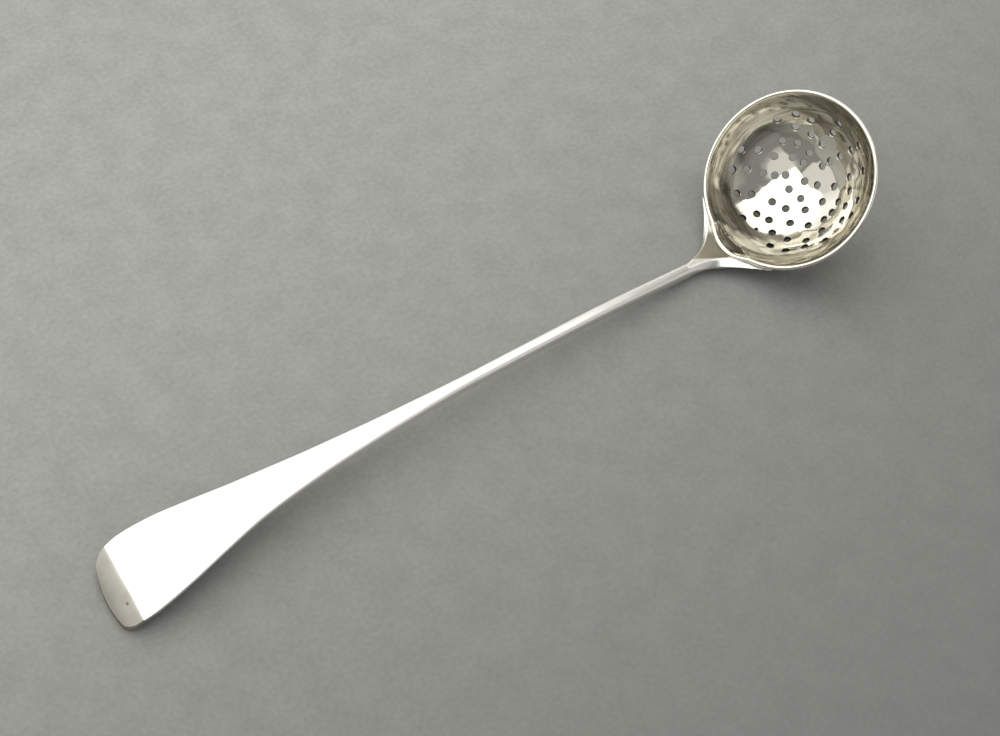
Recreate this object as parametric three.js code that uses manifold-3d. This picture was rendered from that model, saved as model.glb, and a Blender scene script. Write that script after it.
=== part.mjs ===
// A small silver sifter ladle: a round pierced bowl on a long stem with a flat, turned-down blade.
// It lies on a table the way it comes to rest, on the heel under the bowl and on the blade's end.
// Millimetres, +Z up, +X along the ladle towards the bowl, the origin under its middle.

import * as THREE from 'three';
import { mergeVertices } from 'three/addons/utils/BufferGeometryUtils.js';
import Module from 'manifold-3d';

const wasm = await Module();
wasm.setup();

const degree = Math.PI / 180;

// Bowl, raised from one sheet
const rimRadius = 17;
const bowlDepth = 12;
const sheetThickness = 0.8;
const rimCrown = 0.15;
const restTilt = 42.8 * degree;

// Lip, bent outwards where it lies on the shoulder
const lipBendShare = 0.9;
const lipLean = 1.3;

// Holes, drilled by eye: the reach of each row from the bottom, and its turns from the handle
const holeDiameter = 1.45;
const holeRows = [
  { reach: 2.1, turns: [0, 113, 196] },
  { reach: 3.9, turns: [52, 263, 321] },
  { reach: 5.6, turns: [6, 81, 126, 168, 221] },
  { reach: 7.4, turns: [28, 71, 111, 139, 177, 248, 267, 283, 310, 340] },
  { reach: 9.7, turns: [5, 67, 92, 125, 157, 185, 214, 231, 250, 291] },
  { reach: 11.2, turns: [18, 41, 110, 143, 265, 310, 331, 350] },
  { reach: 13, turns: [65, 86, 128, 166, 191, 241, 256, 290, 310] },
  { reach: 14.3, turns: [18, 41, 144, 215, 326, 341] },
  { reach: 15.8, turns: [60, 78, 116, 132, 170, 195] },
];
const pilotDiameter = 0.75;
const pilotReach = 13.1;
const pilotTurn = 3;

// Heel, a tongue of the shoulder soldered on the bowl's back
const heelLength = 9.58;
const heelWidth = 5.2;
const heelTipWidth = 4.2;
const heelThickness = 0.85;
const wearDepth = 0.1;

// Shoulder, a flare from the round stem to two horns that hug the rim
const shoulderLength = 9.3;
const shoulderDepth = 2.4;
const facetShare = 0.5;
const hornSpan = 40 * degree;
const hornTip = 0.15;
const hornBevel = 0.4;
const flarePower = 2.5;
const jointDrop = 1.1;

// Stem and blade, one forging
const handleLength = 132.3;
const stemWidth = 2.45;
const stemThickness = 2.5;
const bladeWidth = 15.5;
const bladeThickness = 1.05;
const archHeight = 7.25;
const turnDownLength = 4.1;
const turnDownDrop = 2.3;
const endInset = 1.0;
const endSkew = 0.16;
const cornerSize = 2.4;

// Hard solder round the heel
const beadDiameter = 0.55;

// Clearances between separate pieces
const seamGap = 0.3;

// Facets
const bowlSegments = 72;
const bowlRows = 7;
const lipRows = 3;
const holeSides = 10;
const sectionPoints = 24;
const finestDetail = 0.005;

// What follows from the sizes above
const bowlSphere = (rimRadius ** 2 + bowlDepth ** 2) / (2 * bowlDepth);
const sphereHeight = bowlSphere - bowlDepth;
const rimPolar = Math.acos(sphereHeight / bowlSphere);
const lipBendDistance = lipBendShare * rimRadius;
const heelArc = rimPolar * bowlSphere - heelLength;
const innerSphere = bowlSphere - sheetThickness;
const seatSphere = bowlSphere + seamGap;
const heelSphere = seatSphere + heelThickness;
const rimHeight = heelSphere - wearDepth - sphereHeight * Math.cos(restTilt);
const rimNear = rimRadius * Math.cos(restTilt);
const rimNearHeight = rimHeight - rimRadius * Math.sin(restTilt);
const jointX = -rimNear - shoulderLength;
const jointHeight = rimNearHeight - jointDrop;

// Bowl axes, X out over the handle and Z out of the mouth, set on the table
const bowlPlace = new THREE.Matrix4()
  .makeBasis(
    new THREE.Vector3(-Math.cos(restTilt), 0, -Math.sin(restTilt)),
    new THREE.Vector3(0, -1, 0),
    new THREE.Vector3(-Math.sin(restTilt), 0, Math.cos(restTilt)),
  )
  .setPosition(0, 0, rimHeight);

function toSolid(geometry) {
  const bare = geometry.clone();
  bare.deleteAttribute('normal');
  bare.deleteAttribute('uv');
  const merged = mergeVertices(bare, 1e-4);
  const index = merged.index.array;
  const kept = [];
  for (let i = 0; i < index.length; i += 3) {
    const [a, b, c] = [index[i], index[i + 1], index[i + 2]];
    if (a !== b && b !== c && c !== a) kept.push(a, b, c);
  }
  return new wasm.Manifold(new wasm.Mesh({
    numProp: 3,
    vertProperties: Float32Array.from(merged.attributes.position.array),
    triVerts: Uint32Array.from(kept),
  }));
}

function toGeometry(solid) {
  const mesh = solid.simplify(finestDetail).getMesh();
  const geometry = new THREE.BufferGeometry();
  geometry.setAttribute('position', new THREE.BufferAttribute(mesh.vertProperties, 3));
  geometry.setIndex(new THREE.BufferAttribute(mesh.triVerts, 1));
  geometry.computeVertexNormals();
  return geometry;
}

// Joins a row of closed sections, each with as many points, into one closed body
function loft(sections) {
  const count = sections[0].length;
  const middles = [sections[0], sections.at(-1)].map((section) => section
    .reduce((sum, point) => sum.add(point), new THREE.Vector3())
    .divideScalar(count));
  const points = [...sections.flat(), ...middles];
  const index = [];
  const last = (sections.length - 1) * count;
  for (let i = 0; i < count; i += 1) {
    const next = (i + 1) % count;
    for (let row = 0; row < last; row += count) {
      index.push(row + i, row + next, row + count + i);
      index.push(row + next, row + count + next, row + count + i);
    }
    index.push(last + count, next, i);
    index.push(last + count + 1, last + i, last + next);
  }
  const geometry = new THREE.BufferGeometry().setFromPoints(points);
  geometry.setIndex(index);
  return geometry;
}

// The lip leans out where the wall passes the bend line, by the same amount inside and outside
function leanLip(geometry) {
  const position = geometry.attributes.position;
  for (let i = 0; i < position.count; i += 1) {
    const [x, y, z] = [position.getX(i), position.getY(i), position.getZ(i)];
    const wall = Math.sqrt(Math.max(0, innerSphere ** 2 - (Math.min(z, 0) - sphereHeight) ** 2 - y ** 2));
    if (x > 0 && wall > lipBendDistance) position.setX(i, x + lipLean * (wall - lipBendDistance));
  }
  return geometry;
}

// A turned shape about the bowl's axis, with its profile drawn from the bottom up
function turned(points) {
  const profile = points.map((point) => new THREE.Vector2(Math.max(0, point.x), point.y));
  return new THREE.LatheGeometry(profile, bowlSegments).rotateX(Math.PI / 2);
}

// The outer or inner side of the wall, from the bottom to the rim plane, closer rows at the lip
function wallArc(radius) {
  const bottom = -Math.PI / 2;
  const rim = bottom + Math.acos(sphereHeight / radius);
  const lip = rim - (1.6 * lipBendDistance * (1 - lipBendDistance / rimRadius)) / radius;
  const lower = new THREE.EllipseCurve(0, sphereHeight, radius, radius, bottom, lip);
  const upper = new THREE.EllipseCurve(0, sphereHeight, radius, radius, lip, rim);
  return [...lower.getPoints(bowlRows), ...upper.getPoints(lipRows).slice(1)];
}

// A place on the bowl's back: the arc from the bottom, the side way, and the distance out
function onSphere(arc, side, radius) {
  const polar = arc / bowlSphere;
  const turn = side / bowlSphere;
  return new THREE.Vector3(Math.sin(polar) * Math.cos(turn), Math.sin(turn), -Math.cos(polar) * Math.cos(turn))
    .multiplyScalar(radius)
    .add(new THREE.Vector3(0, 0, sphereHeight));
}

// A drill through the wall, set square to it, its turn counted clockwise from the handle
function drill(diameter, reach, turn) {
  const bit = new THREE.CylinderGeometry(diameter / 2, diameter / 2, 4 * sheetThickness, holeSides)
    .rotateX(Math.PI / 2)
    .translate(0, 0, -bowlSphere)
    .rotateY(-reach / bowlSphere)
    .rotateZ(-turn * degree)
    .translate(0, 0, sphereHeight);
  return toSolid(bit);
}

function makeBowl() {
  const outside = wallArc(bowlSphere);
  const inside = wallArc(innerSphere).reverse();
  const crown = outside.at(-1).clone().lerp(inside[0], 0.5);
  crown.y += rimCrown;
  let bowl = toSolid(leanLip(turned([...outside, crown, ...inside])));
  const drills = holeRows.flatMap(({ reach, turns }) => turns.map((turn) => drill(holeDiameter, reach, turn)));
  drills.push(drill(pilotDiameter, pilotReach, pilotTurn));
  bowl = bowl.subtract(wasm.Manifold.union(drills));
  return toGeometry(bowl).applyMatrix4(bowlPlace);
}

// What the bowl takes up, grown by the seam, with the space over its mouth
function makeSeat() {
  const outside = wallArc(seatSphere);
  const top = new THREE.Vector2(outside.at(-1).x, bowlDepth);
  const seat = leanLip(turned([...outside, top, new THREE.Vector2(0, bowlDepth)]));
  return toSolid(seat.applyMatrix4(bowlPlace));
}

function makeTable() {
  const size = 2 * handleLength;
  return toSolid(new THREE.BoxGeometry(2 * size, size, size).translate(0, 0, -size / 2));
}

// One upright section of the shoulder, from the stem's round end (0) to the tips of the horns (1)
function shoulderSection(share) {
  const { lerp, smoothstep } = THREE.MathUtils;
  const tipRadius = rimRadius + hornTip;
  const tipX = -tipRadius * Math.cos(hornSpan) * Math.cos(restTilt);
  const x = lerp(jointX, tipX, share);
  const half = lerp(stemWidth / 2, tipRadius * Math.sin(hornSpan), share ** flarePower);
  const flat = smoothstep(share, 0, 0.35);
  const depth = lerp(stemThickness, shoulderDepth, flat) * (1 - 0.9 * smoothstep(share, 0.7, 1));
  const bevel = lerp(stemThickness / 2, hornBevel, share);
  const points = [];
  for (let i = 0; i < sectionPoints; i += 1) {
    const angle = (2 * Math.PI * i) / sectionPoints;
    const across = Math.cos(angle);
    const rise = Math.sin(angle);
    const y = half * across;
    const rim = rimHeight - Math.sin(restTilt) * Math.sqrt(rimRadius ** 2 - y ** 2);
    const top = rim + (jointHeight + stemThickness / 2 - rimNearHeight) * (1 - share);
    const slope = Math.max(0, (Math.abs(across) - facetShare) / (1 - facetShare));
    const over = lerp(top - bevel * (1 - rise), top - bevel * slope, flat);
    const under = top - bevel + (depth - bevel) * rise;
    points.push(new THREE.Vector3(x, y, rise > 0 ? over : under));
  }
  return points;
}

// The heel's outline on the bowl's back: length along the back, then half width
function heelOutline(grow) {
  const outline = new THREE.Shape();
  const tip = heelTipWidth / 2 + grow;
  const root = heelWidth / 2 + grow;
  const start = heelArc + heelTipWidth / 2;
  const end = rimPolar * bowlSphere - heelThickness;
  outline.moveTo(end, -root);
  outline.lineTo(end, root);
  outline.lineTo(start, tip);
  outline.absarc(start, 0, tip, Math.PI / 2, (3 * Math.PI) / 2, false);
  return outline;
}

function makeHeel() {
  const middle = (heelArc + rimPolar * bowlSphere) / 2;
  const polar = middle / bowlSphere;
  const depth = seatSphere;
  const prism = new THREE.ExtrudeGeometry(heelOutline(0), { depth, bevelEnabled: false, curveSegments: 10 });
  prism.translate(-middle, 0, bowlSphere - depth / 2);
  const across = new THREE.Vector3(Math.cos(polar), 0, Math.sin(polar));
  const out = new THREE.Vector3(Math.sin(polar), 0, -Math.cos(polar));
  const basis = new THREE.Matrix4().makeBasis(across, new THREE.Vector3(0, -1, 0), out);
  prism.applyMatrix4(basis.setPosition(0, 0, sphereHeight));
  const ball = new THREE.SphereGeometry(heelSphere, 84, 54).translate(0, 0, sphereHeight);
  return toSolid(prism).intersect(toSolid(ball)).transform(bowlPlace.elements);
}

function makeShoulder(seat, table) {
  const steps = 15;
  const sections = [];
  for (let i = 0; i <= steps; i += 1) sections.push(shoulderSection(i / steps));
  const flare = toSolid(loft(sections));
  const fitted = flare.add(makeHeel()).subtract(seat).subtract(table);
  const [largest] = fitted.decompose().sort((a, b) => b.volume() - a.volume());
  return toGeometry(largest);
}

// The stem and blade: its middle line in side view, then its half width and half thickness
function handleSpine() {
  const arch = [
    [0.215, 0.585], [0.33, 0.725], [0.45, 0.835], [0.575, 0.92], [0.7, 0.99], [0.79, 0.985], [0.88, 0.825], [0.935, 0.62],
  ];
  const end = -rimNear - handleLength;
  const creaseX = end + turnDownLength;
  const creaseHeight = turnDownDrop + bladeThickness / 2;
  const points = [new THREE.Vector3(jointX - seamGap, 0, jointHeight)];
  for (const [share, rise] of arch) {
    points.push(new THREE.Vector3(-rimNear - share * handleLength, 0, rise * archHeight));
  }
  points.push(new THREE.Vector3(creaseX, 0, creaseHeight));
  const path = new THREE.CurvePath();
  path.add(new THREE.CatmullRomCurve3(points));
  path.add(new THREE.QuadraticBezierCurve3(
    new THREE.Vector3(creaseX, 0, creaseHeight),
    new THREE.Vector3(end + turnDownLength / 2, 0, turnDownDrop * 0.76),
    new THREE.Vector3(end - turnDownLength / 3, 0, -turnDownDrop / 3),
  ));
  return path;
}

function bladeShare(distance) {
  return THREE.MathUtils.clamp((distance / handleLength - 0.44) / 0.52, 0, 1);
}

function handleSection(point, tangent) {
  const share = bladeShare(-point.x - rimNear);
  const spread = [0, 0.015, 0.05, 0.095, 0.16, 0.24, 0.35, 0.49, 0.69, 0.89, 1];
  const edge = new THREE.SplineCurve(spread.map((wide, i) => new THREE.Vector2(i, wide)));
  const widen = edge.getPoint(share).y;
  const halfWidth = (stemWidth + (bladeWidth - stemWidth) * widen) / 2;
  const thin = THREE.MathUtils.smoothstep(share, 0, 0.95);
  const halfThickness = (stemThickness + (bladeThickness - stemThickness) * thin) / 2;
  const squareness = 2 / (2 + 2.4 * THREE.MathUtils.smoothstep(share, -0.2, 0.5));
  const up = new THREE.Vector3(0, 1, 0).cross(tangent).normalize();
  if (up.z < 0) up.negate();
  const points = [];
  for (let i = 0; i < sectionPoints; i += 1) {
    const angle = (2 * Math.PI * i) / sectionPoints;
    const [c, s] = [Math.cos(angle), Math.sin(angle)];
    const across = -halfWidth * Math.sign(c) * Math.abs(c) ** squareness;
    const rise = halfThickness * Math.sign(s) * Math.abs(s) ** squareness;
    points.push(point.clone().addScaledVector(up, rise).add(new THREE.Vector3(0, across, 0)));
  }
  return points;
}

// The blade's end seen from above: drawn in at the sides, square corners worn round, cut askew
function makeEndOutline() {
  const end = -rimNear - handleLength;
  const half = bladeWidth / 2;
  const corner = half - endInset;
  const outline = new THREE.Shape();
  outline.moveTo(0, -2 * half);
  outline.lineTo(end + 2 * turnDownLength, -2 * half);
  outline.lineTo(end + 2 * turnDownLength, -half);
  outline.quadraticCurveTo(end + 1.9 * cornerSize, -half, end + cornerSize, -corner);
  outline.quadraticCurveTo(end + cornerSize / 8, 0.4 * cornerSize - corner, end, 1.1 * cornerSize - corner);
  outline.lineTo(end, corner - 1.1 * cornerSize);
  outline.quadraticCurveTo(end + cornerSize / 8, corner - 0.4 * cornerSize, end + cornerSize, corner);
  outline.quadraticCurveTo(end + 1.9 * cornerSize, half, end + 2 * turnDownLength, half);
  outline.lineTo(end + 2 * turnDownLength, 2 * half);
  outline.lineTo(0, 2 * half);
  const prism = new THREE.ExtrudeGeometry(outline, { depth: 4 * archHeight, bevelEnabled: false, curveSegments: 6 });
  prism.translate(0, 0, -archHeight);
  return toSolid(prism.applyMatrix4(new THREE.Matrix4().makeShear(0, 0, endSkew, 0, 0, 0)));
}

function makeHandle(table) {
  const [arch, turnDown] = handleSpine().curves;
  const archSteps = 34;
  const endSteps = 7;
  const sections = [];
  for (let i = 0; i < archSteps; i += 1) {
    sections.push(handleSection(arch.getPointAt(i / archSteps), arch.getTangentAt(i / archSteps)));
  }
  for (let i = 0; i <= endSteps; i += 1) {
    sections.push(handleSection(turnDown.getPointAt(i / endSteps), turnDown.getTangentAt(i / endSteps)));
  }
  return toGeometry(toSolid(loft(sections)).intersect(makeEndOutline()).subtract(table));
}

// The bead runs round the heel, clear of it and of the bowl by the seam
function makeBead() {
  const radius = beadDiameter / 2;
  const away = seamGap + radius;
  const shape = new THREE.Shape().absarc(0, 0, radius, 0, 2 * Math.PI, false);
  const outline = heelOutline(away).getPoints(12);
  const reach = rimPolar * bowlSphere - shoulderDepth - 2 * away;
  const route = outline.slice(2).map((point) => {
    const arc = Math.min(point.x, reach);
    return onSphere(arc, point.y, seatSphere + radius);
  });
  const path = new THREE.CatmullRomCurve3(route);
  const bead = new THREE.ExtrudeGeometry(shape, { steps: 40, extrudePath: path, curveSegments: 4 });
  return bead.applyMatrix4(bowlPlace);
}

function silver(colour, roughness) {
  return new THREE.MeshStandardMaterial({ color: colour, roughness, metalness: 1 });
}

function piece(name, geometry, material) {
  const mesh = new THREE.Mesh(geometry, material);
  mesh.name = name;
  return mesh;
}

const seat = makeSeat();
const table = makeTable();
const ladle = new THREE.Group();
ladle.add(
  piece('pierced_bowl', makeBowl(), silver(0xe9e4d4, 0.16)),
  piece('shoulder_and_heel', makeShoulder(seat, table), silver(0xdedcd2, 0.2)),
  piece('stem_and_blade', makeHandle(table), silver(0xe8e8e4, 0.2)),
  piece('solder_bead', makeBead(), silver(0xcfcabb, 0.35)),
);

// The ladle's own middle, seen from above, is set over the origin
const box = new THREE.Box3().setFromObject(ladle);
ladle.position.x = -(box.min.x + box.max.x) / 2;

export default ladle;
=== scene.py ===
"""Dresses the sifter ladle: a pierced silver bowl, its shoulder and heel, the stem with its blade, and the table."""

import math
from collections import namedtuple

import bmesh
import bpy
from mathutils import Matrix, Vector, noise


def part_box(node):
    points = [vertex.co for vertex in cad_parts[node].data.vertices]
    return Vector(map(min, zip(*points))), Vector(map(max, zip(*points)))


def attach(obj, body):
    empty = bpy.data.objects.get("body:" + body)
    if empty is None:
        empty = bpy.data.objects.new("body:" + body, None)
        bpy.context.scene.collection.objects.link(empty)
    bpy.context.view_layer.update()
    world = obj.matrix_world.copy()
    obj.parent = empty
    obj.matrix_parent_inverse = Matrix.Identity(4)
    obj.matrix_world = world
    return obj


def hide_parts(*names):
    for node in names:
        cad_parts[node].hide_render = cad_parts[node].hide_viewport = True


bl_info = {
    "name": "Sifter Ladle",
    "version": (1, 0, 0),
    "blender": (4, 5, 0),
    "location": "View3D > Sidebar > Ladle",
    "description": "Raises, drills and polishes a silver sifter ladle on its resting frame",
    "category": "Add Mesh",
}

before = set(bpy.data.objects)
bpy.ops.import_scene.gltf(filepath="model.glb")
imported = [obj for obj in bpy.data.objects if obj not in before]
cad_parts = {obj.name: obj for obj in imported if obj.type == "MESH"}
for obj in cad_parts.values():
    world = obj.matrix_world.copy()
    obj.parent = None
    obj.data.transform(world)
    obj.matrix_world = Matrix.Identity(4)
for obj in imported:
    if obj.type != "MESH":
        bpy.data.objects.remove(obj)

TURN = 2 * math.pi
FAR_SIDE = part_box("pierced_bowl")[1].x
VECTOR, COLOUR, NUMBER = "NodeSocketVector", "NodeSocketColor", "NodeSocketFloat"

# Points this near are joined, or lie on a cut
WELD, TOUCH = 1e-7, 1e-6

# Mesh steps, beside those in the panel
RIM_STEPS, HOLE_STEPS, SEAT_STEPS, SEAT_AROUND = 10, 28, 60, 192
SHOULDER_STEPS, SHOULDER_AROUND, HEEL_STEPS = 64, 96, 28
STEM_STEPS, END_STEPS, CORNER_STEPS = 150, 26, 16
BEAD_STEPS, BEAD_AROUND = 30, 16

# Holes drilled by eye: how far each row lies from the bottom along the wall, and its turns from the handle
HOLE_ROWS = (
    (0.0021, (0, 113, 196)),
    (0.0039, (52, 263, 321)),
    (0.0056, (6, 81, 126, 168, 221)),
    (0.0074, (28, 71, 111, 139, 177, 248, 267, 283, 310, 340)),
    (0.0097, (5, 67, 92, 125, 157, 185, 214, 231, 250, 291)),
    (0.0112, (18, 41, 110, 143, 265, 310, 331, 350)),
    (0.0130, (65, 86, 128, 166, 191, 241, 256, 290, 310)),
    (0.0143, (18, 41, 144, 215, 326, 341)),
    (0.0158, (60, 78, 116, 132, 170, 195)),
)

# Places on the shoulder, as shares of its length from the stem to the horns' tips
FLAT_AT, SLIM_FROM, LIP_AT, TIPS_FROM = 0.35, 0.45, 0.657, 0.75

# How the hollow and the painted dark reflection on the shoulder's top fade out, to the far side and to the near side
HOLLOW_FAR, HOLLOW_NEAR = (0.0036, 0.0072), (0.0021, 0.006)
DARK_REFLECTION_FAR, DARK_REFLECTION_NEAR = (0.0036, 0.0046), (0.0021, 0.003)

# The heel's rounded edge: share of its rise, and how far its outline grows, in thicknesses
HEEL_EDGE = ((0, 0), (0.6, 0), (0.85, -0.08), (0.96, -0.2), (1, -0.4))

# The stem's middle line in side view: share of the handle's length, and share of the arch's height
ARCH = (
    (0.215, 0.585),
    (0.33, 0.725),
    (0.45, 0.835),
    (0.575, 0.92),
    (0.7, 0.99),
    (0.79, 0.985),
    (0.88, 0.825),
    (0.935, 0.62),
)

# The stem's spread: where it begins and how long it is, as shares of the handle, its width in even steps, and
# the shares of it over which the stem grows thin and square
SPREAD_FROM, SPREAD_RUN = 0.44, 0.52
SPREAD = (0, 0.015, 0.05, 0.095, 0.16, 0.24, 0.35, 0.49, 0.69, 0.89, 1)
THINS, SQUARES = (0, 0.95), (-0.2, 0.5)

# The lighter places of the room: a patch behind the handle, a window on the near side and the ceiling past the
# bowl. Each has its direction, how near to it the light begins and is full, and its strength.
LIGHT_PLACES = (
    ((-0.66, -0.4, 0.64), 0.905, 0.975, 0.5),
    ((0.62, -0.68, 0.39), 0.78, 0.9, 0.52),
    ((0.6, 0.36, 0.715), 0.97, 0.99, 0.34),
)

# A silver material, with the nodes that a piece's own finish is built on
Silver = namedtuple("Silver", "material tree shader place worn bump")


def length(name, description, default):
    return bpy.props.FloatProperty(
        name=name, description=description, default=default, min=0, precision=5, unit="LENGTH", subtype="DISTANCE"
    )


def angle(name, description, default):
    return bpy.props.FloatProperty(
        name=name, description=description, default=math.radians(default), unit="ROTATION", subtype="ANGLE"
    )


def share(name, description, default, top=1):
    return bpy.props.FloatProperty(name=name, description=description, default=default, min=0, max=top)


def count(name, description, default):
    return bpy.props.IntProperty(name=name, description=description, default=default, min=3)


def colour(name, description, default):
    return bpy.props.FloatVectorProperty(
        name=name, description=description, default=default, size=4, min=0, max=1, subtype="COLOR"
    )


class BowlSizes(bpy.types.PropertyGroup):
    rim_radius: length("Rim radius", "From the bowl's axis to the outside of the rim", 0.017)
    depth: length("Depth", "From the rim down to the outside of the bottom", 0.012)
    sheet: length("Sheet", "Thickness of the raised silver sheet", 0.0008)
    crown: length("Rim crown", "How far the rim is rounded over", 0.00015)
    tilt: angle("Tilt", "How far the mouth leans towards the handle at rest", 42.8)
    bend_distance: length("Lip bend", "Where the lip starts to lean out over the shoulder", 0.0153)
    lean: share("Lip lean", "How much the lip leans out past its bend", 1.3, 3)
    hammer_size: length("Hammer mark", "Width of one planishing mark", 0.0024)
    hammer_depth: length("Hammer depth", "Depth of one planishing mark", 0.000022)
    sway: length("Sway", "Slow unevenness left by raising", 0.00003)
    around: count("Steps around", "Mesh steps round the axis", 288)
    down: count("Steps down", "Mesh steps from the rim to the bottom", 54)
    hole: length("Hole", "Diameter of the drilled holes", 0.00145)
    pilot: length("Pilot hole", "Diameter of the small start hole", 0.00075)
    pilot_reach: length("Pilot reach", "How far the start hole lies from the bottom", 0.0131)
    pilot_turn: angle("Pilot turn", "The start hole's turn from the handle", 3)
    burr: length("Hole edge", "How far the edge of a hole is broken", 0.00003)


class ShoulderSizes(bpy.types.PropertyGroup):
    length: length("Length", "From the rim to the joint with the stem", 0.0093)
    depth: length("Depth", "Height of the shoulder beside the rim", 0.0024)
    far_facet: share("Far facet", "Share of the far half that is flat on top", 0.84)
    near_facet: share("Near facet", "Share of the near half that is flat on top", 0.45)
    # How far the painted dark reflection on the shoulder's flat top reaches to the near side
    near_dark_reach: length("Near corner", "Reach of the unpolished corner to the near side", 0.0021)
    dish: length("Dish", "How far the top facet falls under the rim", 0.0004)
    span: angle("Horn span", "How far the horns reach round the rim", 40)
    tip: length("Horn tip", "How far the horns stand out from the rim", 0.00015)
    bevel: length("Horn bevel", "Slope filed beside the top facet", 0.0004)
    flare: share("Flare", "How late the shoulder spreads", 2.5, 6)
    drop: length("Joint drop", "How far the joint lies under the rim", 0.0011)
    heel_arc: length("Heel reach", "From the bottom to the heel's end, along the back", 0.0126)
    heel_width: length("Heel width", "Width of the heel beside the shoulder", 0.0052)
    heel_tip: length("Heel tip", "Width of the heel's round end", 0.0042)
    heel_thickness: length("Heel thickness", "How far the heel stands out from the bowl", 0.00085)
    wear: length("Wear", "Depth of the flat that the heel stands on", 0.0001)
    seam: length("Seam", "Clearance beside the solder", 0.0003)
    bead: length("Solder", "Width of the run of solder", 0.00055)
    softness: length("Softness", "Size of the finest edge left by filing and polishing", 0.0001)


class HandleSizes(bpy.types.PropertyGroup):
    length: length("Length", "From the rim to the tip", 0.1323)
    stem_width: length("Stem width", "Width of the stem beside the shoulder", 0.00245)
    stem_thickness: length("Stem thickness", "Height of the stem beside the shoulder", 0.0025)
    blade_width: length("Blade width", "Width of the blade", 0.0155)
    blade_thickness: length("Blade thickness", "Thickness of the blade", 0.00105)
    arch: length("Arch", "Height of the arch", 0.00725)
    turn_length: length("Turned end", "Length of the turned-down end", 0.0034)
    turn_drop: length("Drop", "How far the end is turned down", 0.0023)
    inset: length("Corner inset", "How far the sides draw in to the corners", 0.0005)
    corner: length("Corner", "Size of the worn corners", 0.0019)
    skew: share("Skew", "How far the end is cut out of square", 0.16)
    crease_skew: share("Crease skew", "How far the crease lies out of square", 0.12)
    bow: length("Bow", "How far the end is rounded out", 0.0006)
    around: count("Steps around", "Mesh steps round a section", 88)


class Finish(bpy.types.PropertyGroup):
    silver: colour("Silver", "Clean polished silver", (0.93, 0.915, 0.88, 1))
    satin: colour("Satin silver", "Silver seldom rubbed bright, beside the bowl", (0.74, 0.735, 0.69, 1))
    bowl_silver: colour("Bowl silver", "Silver inside the bowl, a little warmer", (0.87, 0.84, 0.735, 1))
    tarnish: colour("Tarnish", "Thin straw tarnish", (0.60, 0.52, 0.38, 1))
    # Colour of the painted shade on the steep inner wall under the lip
    painted_wall_shade: colour("Wall silver", "Silver on the steep wall, less often rubbed", (0.37, 0.36, 0.315, 1))
    hole_wall: colour("Hole wall", "Tarnish inside the drilled holes", (0.075, 0.06, 0.04, 1))
    # Colour of the painted dark reflection on the shoulder's flat top
    painted_dark_reflection: colour("Olive tarnish", "Tarnish in the corner under the lip", (0.26, 0.238, 0.175, 1))
    # Real tarnish in the wall's streaks and the stem's pit, and painted shade on one side of the bowl's wall
    dark_tarnish_and_shade: colour("Dark tarnish", "Tarnish left in corners", (0.16, 0.13, 0.09, 1))
    solder: colour("Solder", "Hard solder", (0.78, 0.74, 0.64, 1))
    # Colour of the painted reflection of the table on the turned-down end
    painted_end_reflection: colour("Dull end", "Unpolished silver on the turned-down end", (0.54, 0.52, 0.465, 1))
    # Painted shade towards the tip of the turned-down end, also laid in cloudy patches
    end_shade_and_mottle: colour("Dull dark", "Darker cloud in the dull end", (0.38, 0.36, 0.305, 1))
    table: colour("Table", "Grey paper on the table", (0.317, 0.319, 0.299, 1))
    lamp: share("Lamp", "Strength of the bright places in the room", 1.15, 5)
    room: share("Room", "Strength of the light from the rest of the room", 0.24, 5)


class StageSizes(bpy.types.PropertyGroup):
    panel_place: bpy.props.FloatVectorProperty(
        name="Panel place", description="Middle of the soft panel", default=(-0.07, 0.2, 0.32), unit="LENGTH"
    )
    panel_size: bpy.props.FloatVectorProperty(
        name="Panel size", description="Width and depth of the soft panel", default=(0.675, 0.6), size=2, unit="LENGTH"
    )
    panel_power: bpy.props.FloatProperty(
        name="Panel power", description="Power of the soft panel", default=2.05, unit="POWER"
    )


def sizes(name):
    """One group of the panel's sizes or colours."""
    return getattr(bpy.context.scene, "ladle_" + name)


# The bowl's sphere and its place


def bowl_sphere():
    bowl = sizes("bowl")
    return (bowl.rim_radius**2 + bowl.depth**2) / (2 * bowl.depth)


def sphere_height():
    return bowl_sphere() - sizes("bowl").depth


def rim_polar():
    return math.asin(sizes("bowl").rim_radius / bowl_sphere())


def rim_height():
    shoulder = sizes("shoulder")
    back = bowl_sphere() + shoulder.seam + shoulder.heel_thickness - shoulder.wear
    return back - sphere_height() * math.cos(sizes("bowl").tilt)


def rim_middle():
    """The middle of the mouth along the ladle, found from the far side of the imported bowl."""
    return FAR_SIDE - (bowl_sphere() - sphere_height() * math.sin(sizes("bowl").tilt))


def rim_near():
    """From the middle of the mouth to the rim beside the handle, level."""
    bowl = sizes("bowl")
    return bowl.rim_radius * math.cos(bowl.tilt)


def bowl_place():
    """Bowl axes, X out over the handle and Z out of the mouth, set on the table."""
    tilt = sizes("bowl").tilt
    return Matrix(
        (
            (-math.cos(tilt), 0, -math.sin(tilt), rim_middle()),
            (0, -1, 0, 0),
            (-math.sin(tilt), 0, math.cos(tilt), rim_height()),
            (0, 0, 0, 1),
        )
    )


def along(values, place):
    """A smooth run through evenly spaced values, read at a place from 0 to 1."""
    spot = max(0.0, min(1.0, place)) * (len(values) - 1)
    i = min(int(spot), len(values) - 2)
    f = spot - i
    before, here, there = values[max(i - 1, 0)], values[i], values[i + 1]
    after = values[min(i + 2, len(values) - 1)]
    bend = 2 * before - 5 * here + 4 * there - after
    twist = 3 * here - before - 3 * there + after
    return 0.5 * (2 * here + (there - before) * f + bend * f**2 + twist * f**3)


def bent(start, pull, end, g):
    """A bend from start to end that leans towards pull."""
    return start * (1 - g) ** 2 + pull * 2 * g * (1 - g) + end * g**2


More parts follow.
